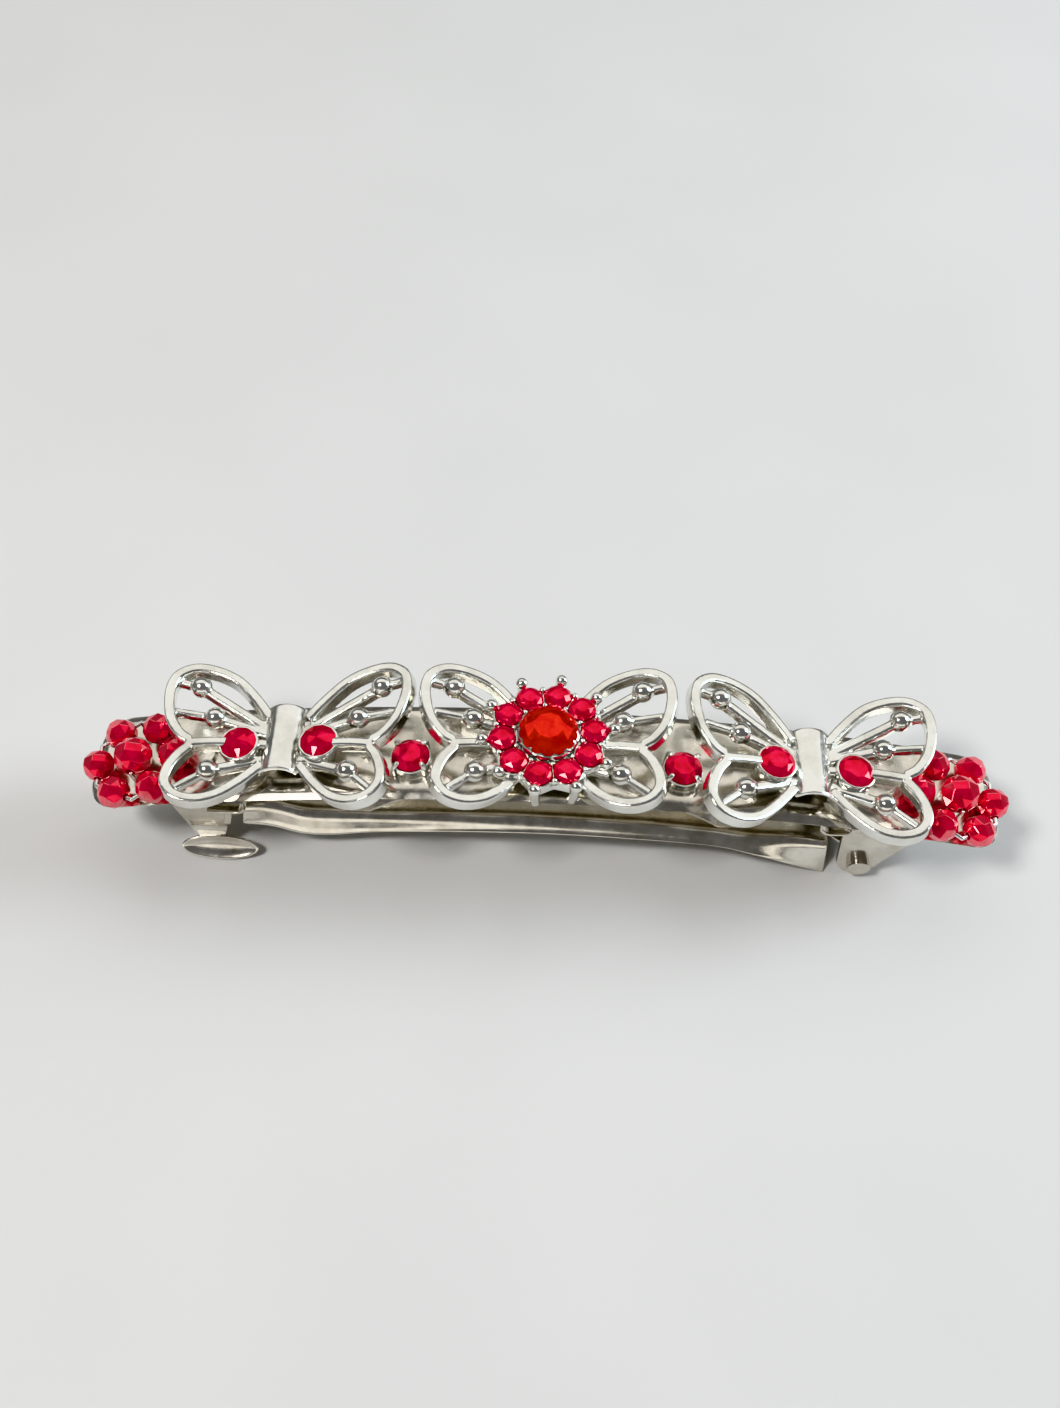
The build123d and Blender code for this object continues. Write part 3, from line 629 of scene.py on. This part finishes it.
def lever(name):
    """The folded arm: nose, channel and the curl round the hinge pin, all one sheet."""
    channel = [lever_row(station) for station in smooth_line(LEVER_STATIONS, 8)]
    lips = [None] * LIP_POINTS

    def flat_row(row, x, share, lift):
        """A row with no lips: the flat of a section, at x, narrowed and moved up."""
        flat = [Vector((x, p.y * share, p.z + lift)) for p in row[LIP_POINTS:-LIP_POINTS]]
        return lips + flat + lips

    first, last = channel[0], channel[-1]
    nose = []
    length = first[0].x - NOSE_X
    for k in range(8):
        ahead = length * (1 - k / 8)
        past = max(0.0, ahead - length + NOSE_CORNER)
        cut = NOSE_CORNER - sqrt(max(0.0, NOSE_CORNER**2 - past**2))
        nose.append(flat_row(first, first[0].x - ahead, 1 - cut / first[LIP_POINTS].y, 0))
    top = HINGE_Z + KNUCKLE_RADIUS
    path = [((last[0].x + HINGE_X) / 2, top), (HINGE_X, top)]
    for k in range(1, 21):
        angle = pi / 2 - CURL * k / 20
        x = HINGE_X + KNUCKLE_RADIUS * cos(angle)
        path.append((x, HINGE_Z + KNUCKLE_RADIUS * sin(angle)))
    wider = KNUCKLE_HALF / last[LIP_POINTS].y
    curl = [flat_row(last, x, wider, z - last[LIP_POINTS].z) for x, z in path]
    bm = bmesh.new()
    sheet(bm, nose + channel + curl)
    obj = new_object(name, bm, recalc=False)
    fold_sheet(obj, SHEET, 0.09)
    return obj


# ---------------------------------------------------------------- catch ears

def ear_sheet(bm):
    """The front ear's wall and neck, drawn on its outer face from the tab upwards."""
    down = Vector((0, -sin(TAB_FLARE), -cos(TAB_FLARE)))
    foot = Vector((0, -EAR_OUTSIDE, EAR_FOOT_Z))
    neck = TAB_DROP - TAB_HALF_HEIGHT + TAB_RIM
    rows = []
    for share in (1.0, 0.75, 0.5, 0.3):
        ends = [a + (b - a) * share for a, b in zip(EAR_FOOT, NECK_FOOT)]
        rows.append((ends, foot + down * neck * share))
    rows.append((EAR_FOOT, foot + Vector((0, -0.03, 0.06))))
    for share in (0.06, 0.2, 0.4, 0.6, 0.8, 1.0):
        ends = [a + (b - a) * share for a, b in zip(EAR_FOOT, EAR_TOP)]
        top = arch_z(ends[0], -PLATE_THICK - 0.6)
        rows.append((ends, foot.lerp(Vector((0, -EAR_OUTSIDE, top)), share)))
    grid = []
    for (left, right), point in rows:
        xs = [left + (right - left) * k / 6 for k in range(7)]
        grid.append([Vector((x, point.y, point.z)) for x in xs])
    sheet(bm, grid)


def finger_tab(bm):
    """The oval tab with a dished face and a raised rim, on the front side."""
    out = Vector((0, -cos(TAB_FLARE), sin(TAB_FLARE)))
    up = Vector((0, sin(TAB_FLARE), cos(TAB_FLARE)))
    centre = Vector((TAB_X, -EAR_OUTSIDE, EAR_FOOT_Z)) - up * TAB_DROP
    thick = TAB_THICK / 2
    # Each ring: how far inside the outline, and its height over the sheet's middle.
    rings = [
        (1.15, thick - TAB_DISH), (0.8, thick - TAB_DISH * 0.92), (0.5, thick - TAB_DISH * 0.6),
        (TAB_RIM, thick - 0.02), (0.18, thick + 0.03), (0.06, thick), (0, thick - 0.08),
        (0, 0.08 - thick), (0.08, -thick), (0.5, -thick - TAB_DISH * 0.4),
        (1.15, -thick - TAB_DISH * 0.6),
    ]
    loops = []
    for inset, height in rings:
        loop = []
        for k in range(TAB_SIDES):
            angle = 2 * pi * k / TAB_SIDES
            u = (TAB_HALF_LENGTH - inset) * cos(angle)
            v = (TAB_HALF_HEIGHT - inset) * sin(angle)
            loop.append(bm.verts.new(centre + Vector((u, 0, 0)) + up * v + out * height))
        loops.append(loop)
    join_rings(bm, loops)
    bm.faces.new(loops[0])
    bm.faces.new(loops[-1])


def catch_trim(bm):
    """The ledge with its turned-up end, and the hook lip below it."""
    front = Vector((0, -1, 0))
    low = EAR_OUTSIDE - 0.15
    for line, half, high in ((LEDGE, 0.14, EAR_OUTSIDE + 0.75), (HOOK, 0.3, EAR_OUTSIDE + 0.28)):
        path = smooth_line([(x, 0, z) for x, z in line], 6)
        tube(bm, path, [(-half, low), (half, low), (half, high), (-half, high)], up=front)


def catch_ear(name, side):
    """One ear of the catch; the back one is the front one's mirror image."""
    bm = bmesh.new()
    ear_sheet(bm)
    obj = new_object(name, bm, recalc=False)
    modify(obj, "SOLIDIFY", thickness=EAR_THICK, offset=-1)
    bake_modifiers(obj)
    bm = bmesh.new()
    bm.from_mesh(obj.data)
    finger_tab(bm)
    catch_trim(bm)
    bmesh.ops.recalc_face_normals(bm, faces=bm.faces)
    if side > 0:
        bmesh.ops.scale(bm, vec=(1, -1, 1), verts=bm.verts)
        bmesh.ops.reverse_faces(bm, faces=bm.faces)
    bm.to_mesh(obj.data)
    bm.free()
    soften(obj, 0.07)
    return obj


# ---------------------------------------------------------------- butterflies

def spread(points):
    """The drawn half outline, widened away from where the wings meet the body."""
    return [(WING_HINGE_U + (u - WING_HINGE_U) * WING_SPREAD, v) for u, v in points]


def wing_frame(bm):
    """The right half's wings as a frame of bars, flat, in millimetres."""
    rim = bar_section(-RIM_GROW, RIM_WIDTH, -RIM_GROW, RIM_HEIGHT, RIM_CORNER)
    for outline in (FOREWING, HINDWING):
        tube(bm, smooth_line(spread(outline)), rim)
    half = RIM_WIDTH / 2
    divider = bar_section(-half, half, 0, RIM_HEIGHT, RIM_CORNER)
    tube(bm, smooth_line(spread(WING_DIVIDER)), divider)
    wide, narrow = VEIN_WIDTH / 2, VEIN_TIP_WIDTH / 2
    for vein in VEINS:
        root, knob, tip = (Vector((*p, 0)) for p in spread(vein))
        tube(bm, [root, knob], bar_section(-wide, wide, 0, VEIN_HEIGHT, 0.25))
        tube(bm, [knob, tip], bar_section(-narrow, narrow, 0.1, VEIN_HEIGHT, 0.2))
        ball(bm, knob + UP * BALL_LIFT, BALL_RADIUS)
    hinge = Matrix.Translation((WING_HINGE_U, 0, 0))
    bm.transform(hinge @ Matrix.Rotation(-WING_DIHEDRAL, 4, "Y") @ hinge.inverted())


def casting(name):
    """Both pairs of wings and the bridge between them."""
    bm = bmesh.new()
    wing_frame(bm)
    drawn = bm.verts[:] + bm.edges[:] + bm.faces[:]
    bmesh.ops.mirror(bm, geom=drawn, axis="X", merge_dist=0)
    u, v = BRIDGE_HALF
    block(bm, (-u, -v, 0), (u, v, BRIDGE_HEIGHT))
    bm.transform(raised(WING_LIFT))
    obj = new_object(name, bm)
    cast(obj, CAST_VOXEL)
    return obj


def band(name):
    """The thin barrel-shaped band over the middle of a side butterfly."""
    bm = bmesh.new()
    rows = []
    steps = 20
    arch = (BAND_HALF_WIDTH**2 + BAND_RISE**2) / (2 * BAND_RISE)
    for i in range(steps + 1):
        t = 2 * i / steps - 1
        width = BAND_HALF_WIDTH - BAND_WAIST * (1 - t * t)
        lift = BAND_LIFT + BAND_FLARE * max(0.0, -t - 0.5) ** 2 * 2
        row = []
        for k in range(25):
            across = width * (2 * k / 24 - 1)
            drop = arch**2 - (across * BAND_HALF_WIDTH / width) ** 2
            height = sqrt(max(0.0, drop)) - arch + BAND_RISE
            row.append((across, t * BAND_HALF_LENGTH, lift + height))
        rows.append(row)
    sheet(bm, rows)
    obj = new_object(name, bm, recalc=False)
    fold_sheet(obj, BAND_THICK, 0.1)
    return obj


# ---------------------------------------------------------------- stones

def facet_ring(radius, height, sides, turn=0.0):
    angles = [2 * pi * (k + turn) / sides for k in range(sides)]
    return [(radius * cos(angle), radius * sin(angle), height) for angle in angles]


def hull(points):
    """A faceted solid: the smallest convex one round the points."""
    bm = bmesh.new()
    for point in points:
        bm.verts.new(point)
    made = bmesh.ops.convex_hull(bm, input=bm.verts)
    spare = made["geom_interior"] + made["geom_unused"]
    inside = [part for part in spare if isinstance(part, bmesh.types.BMVert)]
    bmesh.ops.delete(bm, geom=inside, context="VERTS")
    bmesh.ops.dissolve_limit(bm, angle_limit=radians(1), verts=bm.verts, edges=bm.edges)
    return bm


def brilliant(name, radius, turn, table=0.56, crown=0.33, sides=STONE_SIDES):
    """A round stone with a table. turn is in facets; the other measures are shares of radius."""
    share = [
        *facet_ring(table, crown, sides, turn),
        *facet_ring(0.82, crown * 0.66, sides, turn + 0.5),
        *facet_ring(1.0, GIRDLE, 2 * sides, turn),
        *facet_ring(1.0, -GIRDLE, 2 * sides, turn),
        *facet_ring(0.5, -PAVILION * 0.62, sides, turn + 0.5),
        (0, 0, -PAVILION),
    ]
    return stone_object(name, share, radius)


def pointed(name, radius, turn):
    """A round stone whose facets meet in a point."""
    share = [
        (0, 0, POINTED_CROWN),
        *facet_ring(0.55, POINTED_CROWN * 0.62, POINTED_SIDES, turn + 0.5),
        *facet_ring(1.0, GIRDLE, POINTED_SIDES, turn),
        *facet_ring(1.0, -GIRDLE, POINTED_SIDES, turn),
        *facet_ring(0.45, -PAVILION * 0.68, POINTED_SIDES, turn + 0.5),
        (0, 0, -PAVILION),
    ]
    return stone_object(name, share, radius)


def stone_object(name, share, radius):
    """A stone whose first material is the glass, and whose second is the foil behind it."""
    bm = hull([Vector(p) * radius for p in share])
    bm.normal_update()
    for face in bm.faces:
        face.material_index = 1 if face.normal.z < -0.2 else 0
    return new_object(name, bm)


def bezel(bm, radius, height, floor, lip=0.07):
    """A round cup whose rim is turned in over its stone."""
    outer = radius + CUP_WALL
    lathe(
        bm,
        [
            (0, 0), (outer * 0.86, 0), (outer * 0.97, 0.08), (outer, 0.25), (outer, height),
            (outer - 0.04, height + 0.09), (outer - 0.11, height + 0.12),
            (radius - lip, height + 0.1), (radius - lip, height + 0.06),
            (radius, height + 0.02), (radius, floor), (0, floor),
        ],
    )


def claw_cup(bm, radius, height, claws, turn):
    """A low cup with claws bent in over its stone."""
    bezel(bm, radius, height - 0.12, height - 0.55 * radius, lip=-0.01)
    for k in range(claws):
        out = toward(2 * pi * (k + turn) / claws)
        path = [
            out * (radius + 0.22) + UP * 0.1,
            out * (radius + 0.24) + UP * (height - 0.1),
            out * (radius + 0.16) + UP * (height + 0.22),
            out * (radius - 0.12) + UP * (height + 0.38),
        ]
        tube(bm, smooth_line(path, 5), round_section(CLAW_RADIUS), up=out.cross(UP))
        ball(bm, path[-1], CLAW_RADIUS, 0.8)


# ---------------------------------------------------------------- middle flower

def petal_angle(k):
    return FLOWER_TURN + 2 * pi * k / PETALS


def flower_setting(name):
    """The ten-pointed setting: a web, a collar round each stone, and ball-tipped points."""
    bm = bmesh.new()
    star = []
    for k in range(PETALS):
        star.append(toward(petal_angle(k)) * POINT_RADIUS + UP * FLOWER_LIFT)
        star.append(toward(petal_angle(k + 0.5)) * NOTCH_RADIUS + UP * FLOWER_LIFT)
    prism(bm, star, UP * (FLOWER_WEB_TOP - FLOWER_LIFT))
    for k in range(PETALS):
        out = toward(petal_angle(k))
        lathe(bm, COLLAR, 32, out.xy * RING_PITCH)
        ridge = [
            out * 4.8 + UP * 2.2,
            out * 5.2 + UP * 2.7,
            out * POINT_RADIUS + UP * (FLOWER_TOP - 0.05),
        ]
        tube(bm, smooth_line(ridge, 4), round_section(RIDGE_RADIUS), up=out.cross(UP))
        ball(bm, out * POINT_RADIUS + UP * FLOWER_TOP, POINT_BALL_RADIUS)
        if k in LEG_POINTS:
            leg = [
                out * (POINT_RADIUS - 0.1) + UP * 2.9,
                out * (LEG_PITCH + 0.35) + UP * 1.6,
                out * LEG_PITCH + UP * LEG_FOOT_LIFT,
            ]
            tube(bm, smooth_line(leg, 5), round_section(LEG_RADIUS), up=out.cross(UP))
    for k in range(PETALS):
        out = toward(petal_angle(k + 0.5))
        ball(bm, out * (RING_PITCH * 1.17) + UP * (FLOWER_TOP - 0.12), OUTER_PRONG_RADIUS)
        ball(bm, out * (RING_PITCH * 0.76) + UP * (FLOWER_TOP - 0.05), INNER_PRONG_RADIUS)
    obj = new_object(name, bm)
    cast(obj, FINE_VOXEL)
    return obj


def crown_cup(name):
    """The centre stone's cup, with a crown of small claws."""
    bm = bmesh.new()
    inner = CENTRE_STONE_RADIUS
    outer = inner + CUP_WALL
    base = FLOWER_TOP - 1.1
    girdle = CENTRE_GIRDLE_LIFT

    def scallop(angle, radius, height):
        """Bends the rim in where there is a claw, and lowers it between the claws."""
        if height <= girdle - 0.15:
            return radius, height
        share = max(0.0, cos(CLAWS_ROUND_CENTRE * angle)) ** 0.7
        return radius - 0.16 * share * (height > girdle), height - 0.2 * (1 - share)

    profile = [
        (0, base), (outer, base), (outer, base + 0.9), (outer, girdle - 0.1),
        (outer - 0.02, girdle + 0.16), (outer - 0.14, girdle + 0.24), (outer - 0.24, girdle + 0.12),
        (inner, girdle - 0.1), (inner, base + 0.2), (0, base + 0.2),
    ]
    lathe(bm, profile, CLAWS_ROUND_CENTRE * 10, shape=scallop)
    return new_object(name, bm)


# ---------------------------------------------------------------- bead flowers

def bead(name, size):
    """A fire-polished bead: three belts of facets each side of its waist, and its hole."""
    points = []
    for side in (-1, 1):
        points += facet_ring(0.3, side * 0.95, BEAD_SIDES)
        points += facet_ring(0.74, side * 0.68, BEAD_SIDES, 0.5)
        points += facet_ring(1.0, side * 0.24, BEAD_SIDES)
    bm = hull([Vector(p) * BEAD_RADIUS * size for p in points])
    bm.normal_update()
    ends = [f for f in bm.faces if abs(f.normal.z) > 0.99]
    bmesh.ops.inset_individual(bm, faces=ends, thickness=0.12 * size)
    bmesh.ops.bridge_loops(bm, edges=[edge for face in ends for edge in face.edges])
    bmesh.ops.delete(bm, geom=ends, context="FACES_ONLY")
    obj = new_object(name, bm)
    bevel(obj, 0.035, 1, 12)
    bake_modifiers(obj)
    return obj


def bead_place(node, centre_place):
    """A bead's own frame, its hole along the ring, or across the plate for the centre bead."""
    local = centre_place.inverted() @ middle_of(node)
    angle = atan2(local.y, local.x)
    turned = Matrix(((cos(angle), 0, -sin(angle)), (sin(angle), 0, cos(angle)), (0, 1, 0)))
    if local.xy.length < BEAD_RADIUS:
        turned = Matrix(((1, 0, 0), (0, 0, 1), (0, 1, 0)))
    ride = turned.to_4x4()
    ride.translation = local
    return centre_place @ ride


# ---------------------------------------------------------------- assembly

def askew(name):
    """A casting's own turn and press, as it was soldered on."""
    along, turn, press = CAST_TRIM[name]
    moved = Matrix.Translation((along, 0, 0)) @ Matrix.Rotation(turn, 4, "Z")
    return moved @ Matrix.Diagonal((1, press, 1, 1))


def deck_seat(place, node):
    """A butterfly's frame, moved over the middle of one of its nodes."""
    local = place.inverted() @ middle_of(node)
    return place @ Matrix.Translation((local.x, local.y, 0))


def settle_silver(obj, place, node, sharp):
    settle(obj, place, "clip", "cast_silver", SILVER, nodes=[node], sharp=sharp)


def settle_stone(gem, place, node):
    settle(gem, place, "clip", "rhinestone", RED_STONE, RED_FOIL, nodes=[node])


def build_side_butterfly(name):
    place = deck_under(f"{name}_butterfly_stem")
    wings = casting(f"{name}_wing_casting")
    settle_silver(wings, place @ askew(name), f"{name}_butterfly_wings", CAST_SHARP)
    settle_silver(band(f"{name}_centre_band"), place, f"{name}_butterfly_band", CUP_SHARP)
    for k, side in enumerate(("left", "right")):
        cup_node = f"{name}_butterfly_cup_{side}"
        spot = deck_seat(place, cup_node)
        bm = bmesh.new()
        bezel(bm, WING_STONE_RADIUS, WING_GIRDLE_LIFT - WING_CUP_LIFT - 0.04, CUP_FLOOR)
        cup = new_object(f"{name}_stone_bezel_{side}", bm)
        settle_silver(cup, spot @ raised(WING_CUP_LIFT), cup_node, CUP_SHARP)
        make = pointed if name == "left" else brilliant
        gem = make(f"{name}_wing_rhinestone_{side}", WING_STONE_RADIUS, 0.3 + 0.4 * k)
        settle_stone(gem, spot @ raised(WING_GIRDLE_LIFT), f"{name}_butterfly_stone_{side}")


def build_middle():
    place = deck_under("middle_butterfly_stem")
    wings = casting("middle_wing_casting")
    settle_silver(wings, place @ askew("middle"), "middle_butterfly_wings", CAST_SHARP)
    settle_silver(flower_setting("star_setting"), place, "flower_setting", CAST_SHARP)
    settle_silver(crown_cup("crown_cup"), place, "flower_centre_cup", CROWN_SHARP)
    sides = 10
    facing = FACET_TOWARDS * sides / (2 * pi)
    gem = brilliant("centre_rhinestone", CENTRE_STONE_RADIUS, facing, 0.5, 0.38, sides)
    spot = place @ raised(CENTRE_GIRDLE_LIFT)
    glass = (CENTRE_STONE, CENTRE_FOIL)
    settle(gem, spot, "clip", "centre_rhinestone", *glass, nodes=["flower_centre_stone"])
    for k in range(PETALS):
        angle = petal_angle(k)
        loose = 0.2 * (RNG.random() - 0.5)
        facing = (FACET_TOWARDS - angle) * STONE_SIDES / (2 * pi) + loose
        gem = brilliant(f"ring_rhinestone_{k + 1}", RING_STONE_RADIUS, facing, 0.5, 0.38)
        turn = Matrix.Rotation(angle, 4, "Z")
        spot = place @ turn @ Matrix.Translation((RING_PITCH, 0, FLOWER_TOP))
        settle_stone(gem, spot, f"flower_stone_{k + 1}")


def build_single(name):
    place = deck_under(f"{name}_single_cup")
    bm = bmesh.new()
    claw_cup(bm, SINGLE_RADIUS, SINGLE_GIRDLE_LIFT, 4, 0.5)
    cup = new_object(f"{name}_claw_cup", bm)
    cast(cup, CUP_VOXEL)
    settle_silver(cup, place, f"{name}_single_cup", CAST_SHARP)
    gem = brilliant(f"{name}_single_rhinestone", SINGLE_RADIUS, 0.5, table=0.6)
    settle_stone(gem, place @ raised(SINGLE_GIRDLE_LIFT), f"{name}_single_stone")


def build_bead_flower(name):
    place = deck_under(f"{name}_bead_centre")
    for which in BEADS:
        node = f"{name}_bead_{which}"
        size = CENTRE_BEAD_SCALE if which == "centre" else 1.0
        obj = bead(f"{name}_glass_bead_{which}", size)
        settle(obj, bead_place(node, place), "clip", "bead_glass", BEAD_GLASS, nodes=[node])


def finish_cad(node, material, edge):
    """Keeps a CAD node: softened edges, smooth shading and its material."""
    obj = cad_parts[node]
    obj.data.materials.clear()
    obj.data.materials.append(material)
    obj.data.shade_smooth()
    obj.data.set_sharp_from_angle(angle=radians(SHEET_SHARP))
    bevel(obj, edge * MM, 2, 30)


def build_base():
    """The plate with its hinge ears, the lever and the catch, all drawn in the part's own frame."""
    here = Matrix.Identity(4)
    steel = ("clip_steel", STEEL)
    settle(plate("arched_plate"), here, "clip", *steel, nodes=["top_plate"], sharp=SHEET_SHARP)
    settle(hinge_cheeks("hinge_cheeks"), here, "clip", *steel, sharp=SHEET_SHARP)
    settle(lever("folded_lever"), here, "lever", *steel, nodes=["lever_arm"], sharp=SHEET_SHARP)
    for side, sign in (("front", -1), ("back", 1)):
        ear = catch_ear(f"catch_ear_{side}", sign)
        nodes = [f"latch_ear_{side}"]
        settle(ear, here, f"latch_{side}", *steel, nodes=nodes, sharp=SHEET_SHARP)
    for node in ("hinge_pin", "tension_spring", "spring_rivets", "latch_base", "latch_rivet"):
        finish_cad(node, STEEL, 0.06)


for end in ("left", "right"):
    build_side_butterfly(end)
    build_single(end)
    build_bead_flower(end)
    finish_cad(f"{end}_bead_wire", WIRE, 0.01)
    finish_cad(f"{end}_butterfly_stem", SILVER, 0.03)
build_middle()
finish_cad("middle_butterfly_stem", SILVER, 0.03)
build_base()


# ---------------------------------------------------------------- camera, floor and light

CAMERA_AT = (-1.220, -64.157, 113.872)
CAMERA_RIGHT = (0.998940, 0.040145, 0.022536)
CAMERA_FORWARD = (-0.003778, 0.559339, -0.828930)
LENS = 47.695
FLOOR_HALF = 1.5
WORLD_COLOUR = (0.17, 0.17, 0.175, 1)
AIM = Vector((0, 0, 0.01))
# Each light: name, place, size, brightness of its face, and colour.
SOFTBOXES = [
    ("ceiling", (0.0, 0.34, 0.44), (1.3, 0.36), 0.7, (1.0, 0.98, 0.92)),
    ("lamp", (-0.22, -0.12, 0.42), (0.1, 0.1), 34, (1.0, 0.98, 0.96)),
    ("window", (0.45, 0.12, 0.25), (0.2, 0.24), 11.0, (0.85, 0.93, 1.0)),
    ("front", (0.0, -0.62, 0.14), (1.2, 0.16), 0.9, (1.0, 0.96, 0.88)),
]


def add_camera():
    """The camera; its place is in millimetres, as everything in the part is."""
    data = bpy.data.cameras.new("camera")
    data.sensor_fit = "HORIZONTAL"
    data.sensor_width = 36
    data.lens = LENS
    data.clip_start = 0.001
    camera = bpy.data.objects.new("camera", data)
    bpy.context.scene.collection.objects.link(camera)
    forward = Vector(CAMERA_FORWARD).normalized()
    right = Vector(CAMERA_RIGHT).normalized()
    turn = Matrix((right, right.cross(forward), -forward)).transposed()
    camera.matrix_world = Matrix.Translation(Vector(CAMERA_AT) * MM) @ turn.to_4x4()
    bpy.context.scene.camera = camera


def add_floor():
    bm = bmesh.new()
    bmesh.ops.create_grid(bm, x_segments=1, y_segments=1, size=FLOOR_HALF)
    floor = new_object("floor", bm, recalc=False)
    material, tree, shader, coordinates = new_material("pale_floor")
    patches = noise(tree, coordinates, 40, 2.0)
    tint = ramp(tree, patches, [(0.3, (0.66, 0.66, 0.65)), (0.7, (0.69, 0.69, 0.68))])
    tree.links.new(tint, shader.inputs["Base Color"])
    shader.inputs["Roughness"].default_value = 0.75
    floor.data.materials.append(material)


def add_softbox(name, at, size, glow, colour):
    data = bpy.data.lights.new(name, "AREA")
    data.shape = "RECTANGLE"
    data.size, data.size_y = size
    data.energy = 4 * size[0] * size[1] * glow
    data.color = colour
    light = bpy.data.objects.new(name, data)
    bpy.context.scene.collection.objects.link(light)
    light.location = at
    light.rotation_euler = (AIM - Vector(at)).to_track_quat("-Z", "Y").to_euler()


def add_world():
    world = bpy.data.worlds.new("studio")
    world.use_nodes = True
    background = world.node_tree.nodes["Background"]
    background.inputs["Color"].default_value = WORLD_COLOUR
    background.inputs["Strength"].default_value = 1.0
    bpy.context.scene.world = world


add_camera()
add_floor()
add_world()
for softbox in SOFTBOXES:
    add_softbox(*softbox)
bpy.context.scene.view_settings.view_transform = "Khronos PBR Neutral"
